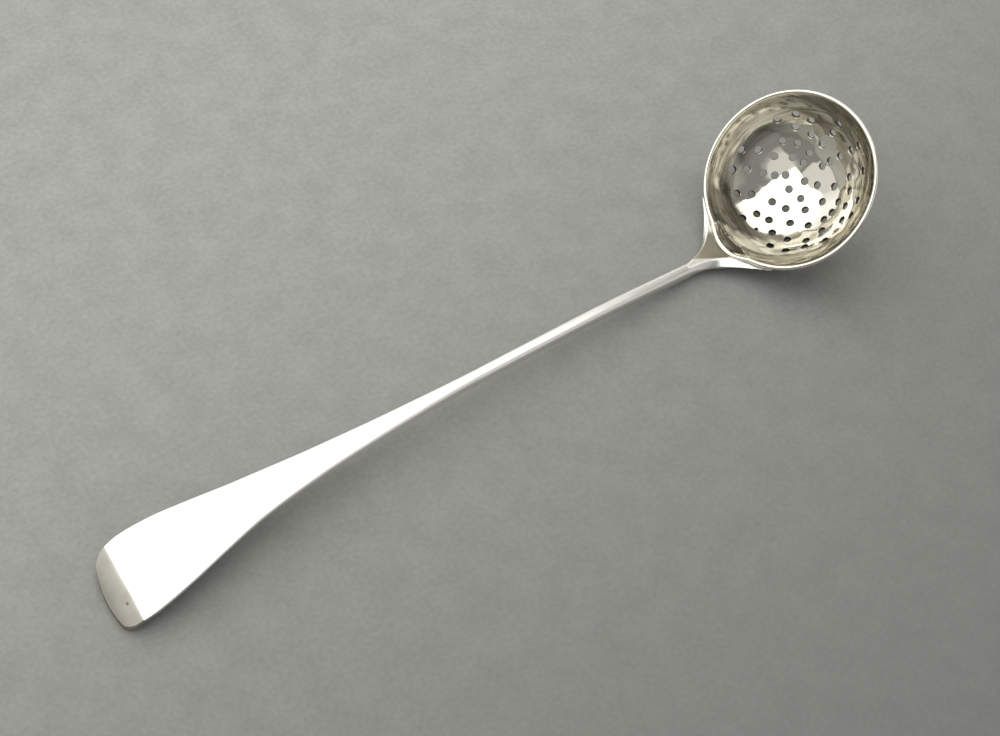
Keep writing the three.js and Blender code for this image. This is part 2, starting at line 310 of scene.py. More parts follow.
def smooth_step(value, low, high):
    f = max(0.0, min(1.0, (value - low) / (high - low)))
    return f * f * (3 - 2 * f)


def mix(low, high, f):
    return low + (high - low) * f


# Mesh helpers


def new_piece(name, bm):
    mesh = bpy.data.meshes.new(name)
    bm.to_mesh(mesh)
    bm.free()
    mesh.shade_smooth()
    piece = bpy.data.objects.new(name, mesh)
    bpy.context.scene.collection.objects.link(piece)
    return piece


def keep_shape(piece):
    """Applies the piece's modifiers to its mesh."""
    graph = bpy.context.evaluated_depsgraph_get()
    mesh = bpy.data.meshes.new_from_object(piece.evaluated_get(graph))
    old = piece.data
    piece.modifiers.clear()
    piece.data = mesh
    bpy.data.meshes.remove(old)
    mesh.name = piece.name


def cut(piece, tool, operation="DIFFERENCE"):
    """Joins, cuts or trims the piece with a closed tool, which is then taken away."""
    change = piece.modifiers.new(operation.lower(), "BOOLEAN")
    change.operation = operation
    change.solver = "EXACT"
    change.object = tool
    keep_shape(piece)
    bpy.data.meshes.remove(tool.data)


def spun(points, around):
    """A closed body turned about Z from a profile that starts and ends on the axis."""
    bm = bmesh.new()
    verts = [bm.verts.new((x, 0, z)) for x, z in points]
    edges = [bm.edges.new(pair) for pair in zip(verts, verts[1:])]
    bmesh.ops.spin(bm, geom=verts + edges, axis=(0, 0, 1), angle=TURN, steps=around, use_merge=True)
    bmesh.ops.remove_doubles(bm, verts=bm.verts, dist=WELD)
    bmesh.ops.recalc_face_normals(bm, faces=bm.faces)
    return bm


def lofted(rings):
    """A closed body drawn through rings of points: one ring, extruded and moved to each next one."""
    bm = bmesh.new()
    loop = bmesh.ops.create_circle(bm, segments=len(rings[0]), radius=1, cap_ends=False)["verts"]
    for vert, point in zip(loop, rings[0]):
        vert.co = point
    edges = bm.edges[:]
    for ring in rings[1:]:
        grown = bmesh.ops.extrude_edge_only(bm, edges=edges)["geom"]
        edges = [item for item in grown if isinstance(item, bmesh.types.BMEdge)]
        fresh = {item for item in grown if isinstance(item, bmesh.types.BMVert)}
        loop = [next(e.other_vert(v) for e in v.link_edges if e.other_vert(v) in fresh) for v in loop]
        for vert, point in zip(loop, ring):
            vert.co = point
    bmesh.ops.holes_fill(bm, edges=[edge for edge in bm.edges if edge.is_boundary], sides=0)
    bmesh.ops.recalc_face_normals(bm, faces=bm.faces)
    return bm


def drop_specks(bm):
    """Keeps the largest connected body and takes away the specks that a cut has left beside it."""
    bodies, left = [], set(bm.verts)
    while left:
        first = left.pop()
        body, edge = [first], [first]
        while edge:
            vert = edge.pop()
            near = [link.other_vert(vert) for link in vert.link_edges if link.other_vert(vert) in left]
            left.difference_update(near)
            body += near
            edge += near
        bodies.append(body)
    for body in sorted(bodies, key=len)[:-1]:
        bmesh.ops.delete(bm, geom=body, context="VERTS")


# Bowl


def wall_point(radius, polar):
    return radius * math.sin(polar), sphere_height() - radius * math.cos(polar)


def bowl_profile():
    """From the bottom up the outside, over the rounded rim and down the inside."""
    bowl = sizes("bowl")
    edge = 0.5 * bowl.sheet
    outer = bowl_sphere()
    inner = outer - bowl.sheet
    rim_out = math.acos((sphere_height() + edge) / outer)
    rim_in = math.acos((sphere_height() + edge) / inner)
    points = [wall_point(outer, rim_out * i / bowl.down) for i in range(bowl.down + 1)]
    middle = (points[-1][0] + wall_point(inner, rim_in)[0]) / 2
    half = points[-1][0] - middle
    for i in range(1, RIM_STEPS):
        turn = math.pi * i / RIM_STEPS
        points.append((middle + half * math.cos(turn), -edge + (edge + bowl.crown) * math.sin(turn)))
    points += [wall_point(inner, rim_in * i / bowl.down) for i in range(bowl.down, -1, -1)]
    return points


def lean_lip(bm):
    """The lip leans out past its bend, where it lies on the shoulder."""
    bowl = sizes("bowl")
    inner = bowl_sphere() - bowl.sheet
    outer_bend = math.sqrt(bowl.bend_distance**2 + bowl_sphere() ** 2 - inner**2)
    for bend in (bowl.bend_distance, outer_bend):
        geom = bm.verts[:] + bm.edges[:] + bm.faces[:]
        bmesh.ops.bisect_plane(bm, geom=geom, dist=TOUCH, plane_co=(bend, 0, 0), plane_no=(1, 0, 0))
    for vert in bm.verts:
        x, y, z = vert.co
        across = inner**2 - (min(z, 0) - sphere_height()) ** 2 - y**2
        wall = math.sqrt(max(0, across))
        if x > 0 and wall > bowl.bend_distance:
            vert.co.x = x + bowl.lean * (wall - bowl.bend_distance)


def hammer(bm):
    """Planishing marks, shallow where the wall is steep, and a slow sway."""
    bowl = sizes("bowl")
    middle = Vector((0, 0, sphere_height()))
    half = bowl_sphere() - bowl.sheet / 2
    mark_start, sway_start, sway_size = Vector((3.1, 7.7, 1.3)), Vector((5.2, 1.9, 8.4)), 0.007
    even_to, steep_from, steep_loss, outside = 0.0105, 0.0145, 0.85, 0.6
    for vert in bm.verts:
        out = vert.co - middle
        steep = 1 - steep_loss * smooth_step(math.hypot(vert.co.x, vert.co.y), even_to, steep_from)
        near = noise.voronoi(vert.co / bowl.hammer_size + mark_start)[0][0]
        slow = noise.noise(vert.co / sway_size + sway_start)
        side = 1 if out.length < half else outside
        mark = steep * bowl.hammer_depth * (4 * near**2 - 1)
        vert.co += out.normalized() * side * (mark + bowl.sway * slow)


def drill(bm, diameter, reach, turn):
    """One spun bit with a broken edge at both faces of the wall, set square to the wall."""
    bowl = sizes("bowl")
    outer = bowl_sphere()
    inner = outer - bowl.sheet
    radius = diameter / 2
    wide = radius + bowl.sheet
    points = (
        (0, inner - bowl.sheet),
        (wide, inner - bowl.sheet),
        (radius, inner + bowl.burr),
        (radius, outer - bowl.burr),
        (wide, outer + bowl.sheet),
        (0, outer + bowl.sheet),
    )
    bit = spun(points, HOLE_STEPS)
    place = (
        Matrix.Translation((0, 0, sphere_height()))
        @ Matrix.Rotation(-turn, 4, "Z")
        @ Matrix.Rotation(-reach / outer, 4, "Y")
        @ Matrix.Rotation(math.pi, 4, "X")
    )
    bmesh.ops.transform(bit, matrix=place, verts=bit.verts)
    spare = bpy.data.meshes.new("bit")
    bit.to_mesh(spare)
    bit.free()
    bm.from_mesh(spare)
    bpy.data.meshes.remove(spare)


def make_bowl():
    bowl = sizes("bowl")
    bm = spun(bowl_profile(), bowl.around)
    lean_lip(bm)
    hammer(bm)
    wall = new_piece("bowl", bm)
    bits = bmesh.new()
    for reach, turns in HOLE_ROWS:
        for turn in turns:
            drill(bits, bowl.hole, reach, math.radians(turn))
    drill(bits, bowl.pilot, bowl.pilot_reach, bowl.pilot_turn)
    bmesh.ops.recalc_face_normals(bits, faces=bits.faces)
    cut(wall, new_piece("bits", bits))
    wall.data.transform(bowl_place())
    wall.data.set_sharp_from_angle(angle=math.radians(35))
    return wall


# Shoulder and heel


def shoulder_ring(f):
    """One upright section, from the stem's round end (0) to the tips of the horns (1)."""
    bowl, shoulder, handle = sizes("bowl"), sizes("shoulder"), sizes("handle")
    slimming, least_side, hollow_rise = 0.9, 0.0001, 1.3
    tip_x = -(bowl.rim_radius + shoulder.tip) * math.cos(shoulder.span) * math.cos(bowl.tilt)
    x = mix(-rim_near() - shoulder.length, tip_x, f) + rim_middle()
    stand_out = shoulder.tip * (1 - 2 * smooth_step(f, TIPS_FROM, 1))
    wide = (bowl.rim_radius + stand_out) * math.sin(shoulder.span)
    half = mix(handle.stem_width / 2, wide, f**shoulder.flare)
    flat = smooth_step(f, 0, FLAT_AT)
    depth = mix(handle.stem_thickness, shoulder.depth, flat) * (1 - slimming * smooth_step(f, SLIM_FROM, 1))
    bevel = mix(handle.stem_thickness / 2, shoulder.bevel, f)
    rise_left = handle.stem_thickness / 2 - shoulder.drop
    ring = []
    for i in range(SHOULDER_AROUND):
        turn = TURN * i / SHOULDER_AROUND
        across, rise = math.cos(turn), math.sin(turn)
        y = half * across
        rim = rim_height() - math.sin(bowl.tilt) * math.sqrt(bowl.rim_radius**2 - y**2)
        top = rim + rise_left * (1 - f)
        flat_share = shoulder.far_facet if across > 0 else shoulder.near_facet
        slope = max(0, (abs(across) - flat_share) / (1 - flat_share))
        beside = 1 - smooth_step(y, *HOLLOW_FAR) - smooth_step(-y, *HOLLOW_NEAR)
        top -= shoulder.dish * min(1, hollow_rise * f) * beside
        over = mix(top - bevel * (1 - rise), top - bevel * slope, flat)
        under = top - bevel + max(depth - bevel, least_side) * rise
        ring.append(Vector((x, y, over if rise > 0 else under)))
    return ring


def heel_outline(grow, steps):
    """The heel on the bowl's back: the distance along the back, and the distance from its middle line."""
    shoulder = sizes("shoulder")
    tip = shoulder.heel_tip / 2 + grow
    root = shoulder.heel_width / 2 + grow
    start = shoulder.heel_arc + shoulder.heel_tip / 2
    end = rim_polar() * bowl_sphere() - shoulder.heel_thickness
    turns = [math.pi / 2 + math.pi * i / steps for i in range(steps + 1)]
    round_end = [(start + tip * math.cos(turn), tip * math.sin(turn)) for turn in turns]
    return [(end, root), *round_end, (end, -root)]


def on_back(arc, side, radius):
    polar, turn = arc / bowl_sphere(), side / bowl_sphere()
    spot = Vector((math.sin(polar) * math.cos(turn), -math.sin(turn), -math.cos(polar) * math.cos(turn)))
    return spot * radius + Vector((0, 0, sphere_height()))


def make_heel():
    """The heel follows the bowl's back: its outline set on the back and drawn out from it."""
    shoulder = sizes("shoulder")
    middle = Vector((0, 0, sphere_height()))
    low = bowl_sphere() - shoulder.heel_thickness / 2
    high = bowl_sphere() + shoulder.seam + shoulder.heel_thickness
    rings = []
    for step, grow in HEEL_EDGE:
        radius = mix(low, high, step)
        outline = heel_outline(grow * shoulder.heel_thickness, HEEL_STEPS)
        rings.append([on_back(arc, side, radius) for arc, side in outline])
    bm = lofted(rings)
    top = max(bm.faces, key=lambda face: min((vert.co - middle).length for vert in face.verts))
    bmesh.ops.inset_region(bm, faces=[top], thickness=shoulder.heel_tip / 6, use_even_offset=True)
    bmesh.ops.poke(bm, faces=[top])
    nearly_out = mix(low, high, 0.98)
    for vert in bm.verts:
        out = vert.co - middle
        if out.length > nearly_out:
            vert.co = middle + out.normalized() * high
    bmesh.ops.triangulate(bm, faces=bm.faces)
    return new_piece("heel", bm)


def make_seat():
    """The space of the bowl and over its mouth, a hair small so that no gap shows."""
    hair, over_mouth = 0.00012, 0.012
    radius = bowl_sphere() - hair
    points = [wall_point(radius, rim_polar() * i / SEAT_STEPS) for i in range(SEAT_STEPS + 1)]
    points += [(points[-1][0], over_mouth), (0, over_mouth)]
    bm = spun(points, SEAT_AROUND)
    lean_lip(bm)
    return new_piece("seat", bm)


def mark_dark_reflection(flare):
    """Marks the flat top between the stem and the lip, where a painted dark reflection lies."""
    bowl, shoulder, handle = sizes("bowl"), sizes("shoulder"), sizes("handle")
    edge_fade, joint_fade, level, near_end = (-0.00015, 0.0001), (0.07, 0.12), (0.8, 0.93), 0.9
    wide = bowl.rim_radius * math.sin(shoulder.span)
    start = rim_middle() - rim_near() - shoulder.length
    reach = shoulder.length + rim_near() * (1 - math.cos(shoulder.span))
    mark = flare.data.attributes.new("corner", "FLOAT", "POINT")
    for vert, value in zip(flare.data.vertices, mark.data):
        f = max(0, (vert.co.x - start) / reach)
        half = mix(handle.stem_width / 2, wide, f**shoulder.flare)
        far = half * shoulder.far_facet
        near = max(-near_end * half, shoulder.near_dark_reach * (2 * min(1, f / LIP_AT) - 1))
        inside = smooth_step(f, *joint_fade) * smooth_step(vert.normal.z, *level)
        for side, edge, outer in ((vert.co.y, far, DARK_REFLECTION_FAR), (-vert.co.y, near, DARK_REFLECTION_NEAR)):
            inside *= (1 - smooth_step(side - edge, *edge_fade)) * (1 - smooth_step(side, *outer))
        value.value = inside


def make_shoulder():
    stations = [i / SHOULDER_STEPS for i in range(SHOULDER_STEPS + 1)]
    flare = new_piece("shoulder", lofted([shoulder_ring(f) for f in stations]))
    heel, seat = make_heel(), make_seat()
    for tool, operation in ((heel, "UNION"), (seat, "DIFFERENCE")):
        tool.data.transform(bowl_place())
        cut(flare, tool, operation)
    enlarged = 1000
    flare.data.transform(Matrix.Scale(enlarged, 4))
    soften = flare.modifiers.new("filed", "REMESH")
    soften.mode = "VOXEL"
    soften.voxel_size = enlarged * sizes("shoulder").softness
    soften.use_smooth_shade = True
    polish = flare.modifiers.new("polished", "SMOOTH")
    polish.factor = 0.5
    polish.iterations = 6
    keep_shape(flare)
    flare.data.transform(Matrix.Scale(1 / enlarged, 4))
    bm = bmesh.new()
    bm.from_mesh(flare.data)
    drop_specks(bm)
    for vert in bm.verts:
        vert.co.z = max(0, vert.co.z)
    bm.to_mesh(flare.data)
    bm.free()
    flare.data.shade_smooth()
    mark_dark_reflection(flare)
    return flare


# Stem and blade


def spine(f):
    """The middle line, from the joint (0) through the crease (1) to the tip (2)."""
    bowl, shoulder, handle = sizes("bowl"), sizes("shoulder"), sizes("handle")
    joint_height = rim_height() - bowl.rim_radius * math.sin(bowl.tilt) - shoulder.drop
    end = -rim_near() - handle.length
    crease = Vector((end + handle.turn_length, 0, handle.turn_drop + handle.blade_thickness / 2))
    if f <= 1:
        points = [Vector((-rim_near() - shoulder.length, 0, joint_height))]
        points += [Vector((-rim_near() - run * handle.length, 0, rise * handle.arch)) for run, rise in ARCH]
        return along(points + [crease], f)
    sag = 0.76
    middle = Vector((end + handle.turn_length / 2, 0, handle.turn_drop * sag))
    tip = Vector((end - handle.turn_length / 3, 0, -handle.turn_drop / 3))
    return bent(crease, middle, tip, f - 1)


def handle_ring(f):
    """One section across the middle line: round at the shoulder, then wide, thin and squarer."""
    handle = sizes("handle")
    here, beside, squaring, askew_from = spine(f), 0.01, 2.4, 0.88
    tangent = (spine(min(2, f + beside)) - spine(max(0, f - beside))).normalized()
    up = tangent.cross(Vector((0, -1, 0))).normalized()
    run = (-here.x - rim_near()) / handle.length
    spread = max(0.0, min(1.0, (run - SPREAD_FROM) / SPREAD_RUN))
    half_width = mix(handle.stem_width, handle.blade_width, along(SPREAD, spread)) / 2
    thin = smooth_step(spread, *THINS)
    half_thickness = mix(handle.stem_thickness, handle.blade_thickness, thin) / 2
    squareness = 2 / (2 + squaring * smooth_step(spread, *SQUARES))
    askew = handle.crease_skew * smooth_step(f, askew_from, 1)
    ring = []
    for i in range(handle.around):
        turn = TURN * i / handle.around
        c, s = math.cos(turn), math.sin(turn)
        across = half_width * math.copysign(abs(c) ** squareness, c)
        rise = half_thickness * math.copysign(abs(s) ** squareness, s)
        spot = here + up * rise
        ring.append(Vector((spot.x + rim_middle() + askew * across, across, spot.z)))
    return ring


def end_tool():
    """The blade's end seen from above: drawn in at the sides, corners worn round, cut askew."""
    handle = sizes("handle")
    end = -rim_near() - handle.length + handle.bow
    half = handle.blade_width / 2
    corner = half - handle.inset
    size = handle.corner
    flat = corner - 1.1 * size
    # The side that draws in, the worn corner and the rounded end: start, pull and end of each
    turns = (
        ((end + 2 * handle.turn_length, half), (end + 1.9 * size, half - 0.25 * handle.inset), (end + size, corner)),
        ((end + size, corner), (end + size / 8, corner - 0.4 * size), (end, flat)),
        ((end, flat), (end - handle.bow, flat / 2), (end - handle.bow, 0)),
    )
    side = [(0, 2 * half), (end + 2 * handle.turn_length, 2 * half)]
    for turn in turns:
        for i in range(CORNER_STEPS + 1):
            side.append(tuple(bent(*values, i / CORNER_STEPS) for values in zip(*turn)))
    outline = side + [(x, -y) for x, y in reversed(side)]
    bm = bmesh.new()
    verts = [bm.verts.new((x + handle.skew * y + rim_middle(), y, -handle.arch)) for x, y in outline]
    bmesh.ops.contextual_create(bm, geom=verts)
    bmesh.ops.remove_doubles(bm, verts=bm.verts, dist=WELD)
    grown = bmesh.ops.extrude_face_region(bm, geom=bm.faces[:])
    raised = [item for item in grown["geom"] if isinstance(item, bmesh.types.BMVert)]
    bmesh.ops.translate(bm, verts=raised, vec=(0, 0, 4 * handle.arch))
    bmesh.ops.recalc_face_normals(bm, faces=bm.faces)
    return new_piece("end", bm)


def make_stem():
    stations = [i / STEM_STEPS for i in range(STEM_STEPS)] + [1 + i / END_STEPS for i in range(END_STEPS + 1)]
    stem = new_piece("stem", lofted([handle_ring(f) for f in stations]))
    cut(stem, end_tool(), "INTERSECT")
    bm = bmesh.new()
    bm.from_mesh(stem.data)
    geom = bm.verts[:] + bm.edges[:] + bm.faces[:]
    done = bmesh.ops.bisect_plane(bm, geom=geom, dist=WELD, plane_co=(0, 0, 0), plane_no=(0, 0, -1), clear_outer=True)
    rim = [item for item in done["geom_cut"] if isinstance(item, bmesh.types.BMEdge)]
    bmesh.ops.contextual_create(bm, geom=rim)
    bm.to_mesh(stem.data)
    bm.free()
    sharp = math.radians(40)
    stem.data.shade_smooth()
    stem.data.set_sharp_from_angle(angle=sharp)
    ease = stem.modifiers.new("worn", "BEVEL")
    ease.width = 0.00035
    ease.segments = 3
    ease.limit_method = "ANGLE"
    ease.angle_limit = sharp
    ease.use_clamp_overlap = True
    keep_shape(stem)
    stem.data.shade_smooth()
    return stem


def make_solder():
    """A low run of solder round the heel, lying on the bowl's back."""
    shoulder = sizes("shoulder")
    radius = shoulder.bead / 2
    beside, lift, unevenness, swell_size = 0.9 * radius, 0.35 * radius, 0.18, 0.0016
    reach = rim_polar() * bowl_sphere() - shoulder.depth - radius
    route = [(min(arc, reach), side) for arc, side in heel_outline(beside, BEAD_STEPS)]
    spots = [on_back(arc, side, bowl_sphere() + lift) for arc, side in route]
    middle = Vector((0, 0, sphere_height()))
    turns = [TURN * i / BEAD_AROUND for i in range(BEAD_AROUND)]
    rings = []
    for i, spot in enumerate(spots):
        ahead = spots[min(i + 1, len(spots) - 1)] - spots[max(i - 1, 0)]
        out = (spot - middle).normalized()
        side = ahead.cross(out).normalized()
        swell = 1 + unevenness * noise.noise(spot / swell_size)
        rings.append([spot + (side * math.cos(turn) + out * math.sin(turn)) * radius * swell for turn in turns])
    bm = lofted(rings)
    bmesh.ops.transform(bm, matrix=bowl_place(), verts=bm.verts)
    return new_piece("solder", bm)


# Silver


def fill(tree, node, values):
    """Sets a node's inputs, each to a value or to another node's output."""
    for key, value in values.items():
        if isinstance(value, bpy.types.NodeSocket):
            tree.links.new(value, node.inputs[key])
        else:
            node.inputs[key].default_value = value


def add_node(tree, kind, values=None, **settings):
    node = tree.nodes.new(kind)
    for key, value in settings.items():
        setattr(node, key, value)
    fill(tree, node, values or {})
    return node


def math_node(tree, operation, *values, clamp=False):
    given = dict(enumerate(values))
    return add_node(tree, "ShaderNodeMath", given, operation=operation, use_clamp=clamp).outputs[0]


def product(tree, first, second):
    return math_node(tree, "MULTIPLY", first, second)


def scaled(tree, value, factor, start, clamp=False):
    return math_node(tree, "MULTIPLY_ADD", value, factor, start, clamp=clamp)


def fade(tree, value, low, high, start=0.0, end=1.0):
    given = {0: value, 1: low, 2: high, 3: start, 4: end}
    return add_node(tree, "ShaderNodeMapRange", given, interpolation_type="SMOOTHSTEP").outputs[0]


def blend(tree, factor, first, second):
    return add_node(tree, "ShaderNodeMix", {0: factor, 6: first, 7: second}, data_type="RGBA").outputs[2]


def towards(tree, vector, direction):
    """How far a vector goes in a direction."""
    return add_node(tree, "ShaderNodeVectorMath", {0: vector, 1: direction}, operation="DOT_PRODUCT").outputs["Value"]


def grain(tree, vector, scale, detail=3.0, roughness=0.6):
    given = {"Vector": vector, "Scale": scale, "Detail": detail, "Roughness": roughness}
    return add_node(tree, "ShaderNodeTexNoise", given).outputs[0]


def rubbing(tree, vector, turn, stretch, scale):
    """Noise drawn out along one direction, as rubbing leaves it."""
    given = {"Vector": vector, "Rotation": (0, 0, turn), "Scale": (1, stretch, stretch)}
    return grain(tree, add_node(tree, "ShaderNodeMapping", given).outputs[0], scale)


def toned(tone, strength):
    return tuple(part * strength for part in tone[:3]) + (1,)


def new_group(name, inputs, outputs):
    group = bpy.data.node_groups.new(name, "ShaderNodeTree")
    for way, sockets in (("INPUT", inputs), ("OUTPUT", outputs)):
        for label, kind in sockets.items():
            group.interface.new_socket(name=label, in_out=way, socket_type=kind)
    return group, group.nodes.new("NodeGroupInput").outputs, group.nodes.new("NodeGroupOutput")


def worn_silver_group():
    """Clean silver under thin tarnish, with fine rubbing marks and small pits."""
    made = bpy.data.node_groups.get("worn_silver")
    if made:
        return made
    inputs = {"Vector": VECTOR, "Silver": COLOUR, "Tarnish": COLOUR}
    inputs |= dict.fromkeys(("Amount", "Smooth", "Rough", "Patch"), NUMBER)
    outputs = {"Colour": COLOUR, "Roughness": NUMBER, "Height": NUMBER}
    group, given, result = new_group("worn_silver", inputs, outputs)
    place = given["Vector"]
    patch = grain(group, place, given["Patch"], detail=6.0, roughness=0.62)
    stain = fade(group, patch, 0.46, 0.68)
    rub_one = fade(group, rubbing(group, place, turn=0.35, stretch=22, scale=260.0), 0.58, 0.72)
    rub_two = fade(group, rubbing(group, place, turn=-0.6, stretch=30, scale=180.0), 0.6, 0.74)
    rubbed_and_shaded = math_node(group, "ADD", rub_one, rub_two, clamp=True)
    pits = fade(group, grain(group, place, 3200.0, detail=2.0, roughness=0.5), 0.74, 0.8)
    pitted = scaled(group, pits, 0.25, product(group, stain, given["Amount"]), clamp=True)
    dulled = scaled(group, rubbed_and_shaded, 0.3, stain, clamp=True)
    span = math_node(group, "SUBTRACT", given["Rough"], given["Smooth"])
    soft = scaled(group, patch, 0.6, product(group, rubbed_and_shaded, -0.35))
    results = {
        "Colour": blend(group, pitted, given["Silver"], given["Tarnish"]),
        "Roughness": scaled(group, dulled, span, given["Smooth"]),
        "Height": scaled(group, pits, -0.8, soft),
    }
    fill(group, result, results)
    return group


def round_bowl_group():
    """Turns a place on the bowl into a vector for streaks round the wall, the distance from the bowl's axis, the
    height over its rim and the distance from its sphere's middle."""
    outputs = {"Vector": VECTOR, "Reach": NUMBER, "Height": NUMBER, "Depth": NUMBER}
    group, given, result = new_group("round_the_bowl", {"Vector": VECTOR}, outputs)
    x, y, z = add_node(group, "ShaderNodeSeparateXYZ", {0: given["Vector"]}).outputs
    square = scaled(group, y, y, product(group, x, x))
    reach = math_node(group, "SQRT", square)
    turn = product(group, math_node(group, "ARCTAN2", y, x), 0.0011)
    drift = grain(group, given["Vector"], 90.0, roughness=0.5)
    streaks = {0: scaled(group, drift, 0.0022, reach), 1: turn, 2: scaled(group, drift, 0.0018, z)}
    lift = math_node(group, "SUBTRACT", z, sphere_height())
    results = {
        "Vector": add_node(group, "ShaderNodeCombineXYZ", streaks).outputs[0],
        "Reach": reach,
        "Height": z,
        "Depth": math_node(group, "SQRT", scaled(group, lift, lift, square)),
    }
    fill(group, result, results)
    return group


def new_material(name):
    material = bpy.data.materials.new(name)
    material.use_nodes = True
    tree = material.node_tree
    return material, tree, tree.nodes["Principled BSDF"], add_node(tree, "ShaderNodeTexCoord").outputs["Object"]


def silver_material(name, silver, amount, smooth, rough, patch, relief=2e-6):
    """A silver finish: the shared worn silver, and its marks as a fine bump."""
    material, tree, shader, place = new_material(name)
    given = {"Vector": place, "Silver": silver, "Tarnish": sizes("finish").tarnish}
    given |= {"Amount": amount, "Smooth": smooth, "Rough": rough, "Patch": patch}
    worn = add_node(tree, "ShaderNodeGroup", given, node_tree=worn_silver_group()).outputs
    bump = add_node(tree, "ShaderNodeBump", {"Strength": 1.0, "Distance": relief, "Height": worn["Height"]})
    fill(tree, shader, {"Metallic": 1, "Base Color": worn["Colour"], "Roughness": worn["Roughness"]})
    fill(tree, shader, {"Normal": bump.outputs[0]})
    return Silver(material, tree, shader, place, worn, bump)


def bowl_material():
    """Silver with streaks that run round the wall, straw tarnish between the polished places, painted shade on the
    steep wall under the lip that is weaker on one side and deepest on the other, and dark holes.
    """
    finish, outside = sizes("finish"), bowl_sphere()
    made = silver_material("bowl_silver", finish.bowl_silver, amount=0.12, smooth=0.05, rough=0.12, patch=320.0)
    tree = made.tree
    given = {"Vector": made.place, "Location": bowl_place().translation, "Rotation": bowl_place().to_euler()}
    centred = add_node(tree, "ShaderNodeMapping", given, vector_type="TEXTURE").outputs[0]
    turned = add_node(tree, "ShaderNodeGroup", {"Vector": centred}, node_tree=round_bowl_group()).outputs
    fine = grain(tree, turned["Vector"], 2100.0, detail=5.0)
    broad = grain(tree, turned["Vector"], 520.0, detail=4.0)
    under_lip = fade(tree, turned["Height"], -0.0002, -0.0009)
    wall = product(tree, fade(tree, turned["Reach"], 0.011, 0.013), under_lip)
    streak = product(tree, fade(tree, fine, 0.52, 0.64), wall)
    band = product(tree, fade(tree, broad, 0.48, 0.64), wall)
    # Painted shade on the steep wall: full over most of it, weaker on one side, with darker painted shade added on the
    # other side
    away = towards(tree, centred, (-0.78, 0.62, 0))
    rubbed_and_shaded = fade(tree, away, 0.009, 0.0135, start=1.0, end=0.35)
    painted_side_shade = product(tree, fade(tree, away, -0.008, -0.013, end=0.4), wall)
    patchy_wall_shade = product(tree, scaled(tree, fade(tree, broad, 0.4, 0.58), 0.4, 0.6), rubbed_and_shaded)
    skin, deeper = 0.00008, 0.00014
    inside = outside - sizes("bowl").sheet
    past = fade(tree, turned["Depth"], inside + skin, inside + deeper)
    short = fade(tree, turned["Depth"], outside - deeper, outside - skin, start=1.0, end=0.0)
    below = fade(tree, turned["Height"], -0.0011, -0.0009, start=1.0, end=0.0)
    drilled = product(tree, product(tree, past, short), below)
    # The steep wall darkened with painted shade, in broad patches
    shade = blend(tree, product(tree, wall, patchy_wall_shade), made.worn["Colour"], finish.painted_wall_shade)
    coats = (
        (product(tree, band, 0.2), finish.tarnish),
        (painted_side_shade, finish.dark_tarnish_and_shade),
        (product(tree, streak, 0.55), finish.dark_tarnish_and_shade),
        (product(tree, drilled, 0.95), finish.hole_wall),
    )
    for amount, tone in coats:
        shade = blend(tree, amount, shade, tone)
    rougher = scaled(tree, drilled, 0.3, scaled(tree, streak, 0.08, made.worn["Roughness"]))
    fill(tree, made.shader, {"Base Color": shade, "Roughness": rougher})
    ridges = product(tree, fine, scaled(tree, wall, 4.0, 0.5))
    fill(tree, made.bump, {"Height": math_node(tree, "ADD", ridges, made.worn["Height"])})
    return made.material


def stem_material():
    """Satin silver, bright on the blade, and rougher on the turned-down end, which has a painted reflection of the
    table, painted shade towards its tip, and its small dark pit.
    """
    finish, handle = sizes("finish"), sizes("handle")
    made = silver_material("stem_silver", finish.silver, amount=0.15, smooth=0.3, rough=0.42, patch=160.0)
    tree = made.tree
    crease = rim_middle() - rim_near() - handle.length + handle.turn_length
    pit_x, pit_y, pit_length, pit_size = rim_middle() - 0.1428, -0.00335, 0.6, 0.00024
    x, y, _ = add_node(tree, "ShaderNodeSeparateXYZ", {0: made.place}).outputs
    from_crease = scaled(tree, y, -handle.crease_skew, x)
    end = fade(tree, from_crease, crease + 0.0001, crease - 0.0001)
    # Painted reflection of the table on the turned-down end, with painted shade growing towards its tip
    edge = fade(tree, from_crease, crease - 0.0016, crease - 0.0038)
    cloud = fade(tree, grain(tree, made.place, 170.0, roughness=0.5), 0.35, 0.65)
    painted_end = blend(tree, scaled(tree, cloud, 0.45, edge, clamp=True), finish.painted_end_reflection, finish.end_shade_and_mottle)
    ahead = math_node(tree, "SUBTRACT", x, pit_x)
    beside = product(tree, math_node(tree, "SUBTRACT", y, pit_y), pit_length)
    away = math_node(tree, "SQRT", scaled(tree, beside, beside, product(tree, ahead, ahead)))
    pit = fade(tree, away, pit_size, pit_size / 2, end=0.85)
    painted_end = blend(tree, pit, painted_end, finish.dark_tarnish_and_shade)
    satin = blend(tree, fade(tree, x, -0.03, 0.04), made.worn["Colour"], finish.satin)
    rougher = scaled(tree, end, 0.14, made.worn["Roughness"])
    fill(tree, made.shader, {"Base Color": blend(tree, end, satin, painted_end), "Roughness": rougher})
    return made.material


def shoulder_material():
    """Satin silver with a painted dark reflection on the flat top in the corner under the lip."""
    finish = sizes("finish")
    made = silver_material("shoulder_silver", finish.satin, amount=0.2, smooth=0.28, rough=0.4, patch=420.0)
    corner = add_node(made.tree, "ShaderNodeAttribute", attribute_name="corner").outputs["Fac"]
    # Painted dark reflection where the flat top is marked
    shade = blend(made.tree, product(made.tree, corner, 0.92), made.worn["Colour"], finish.painted_dark_reflection)
    fill(made.tree, made.shader, {"Base Color": shade})
    return made.material


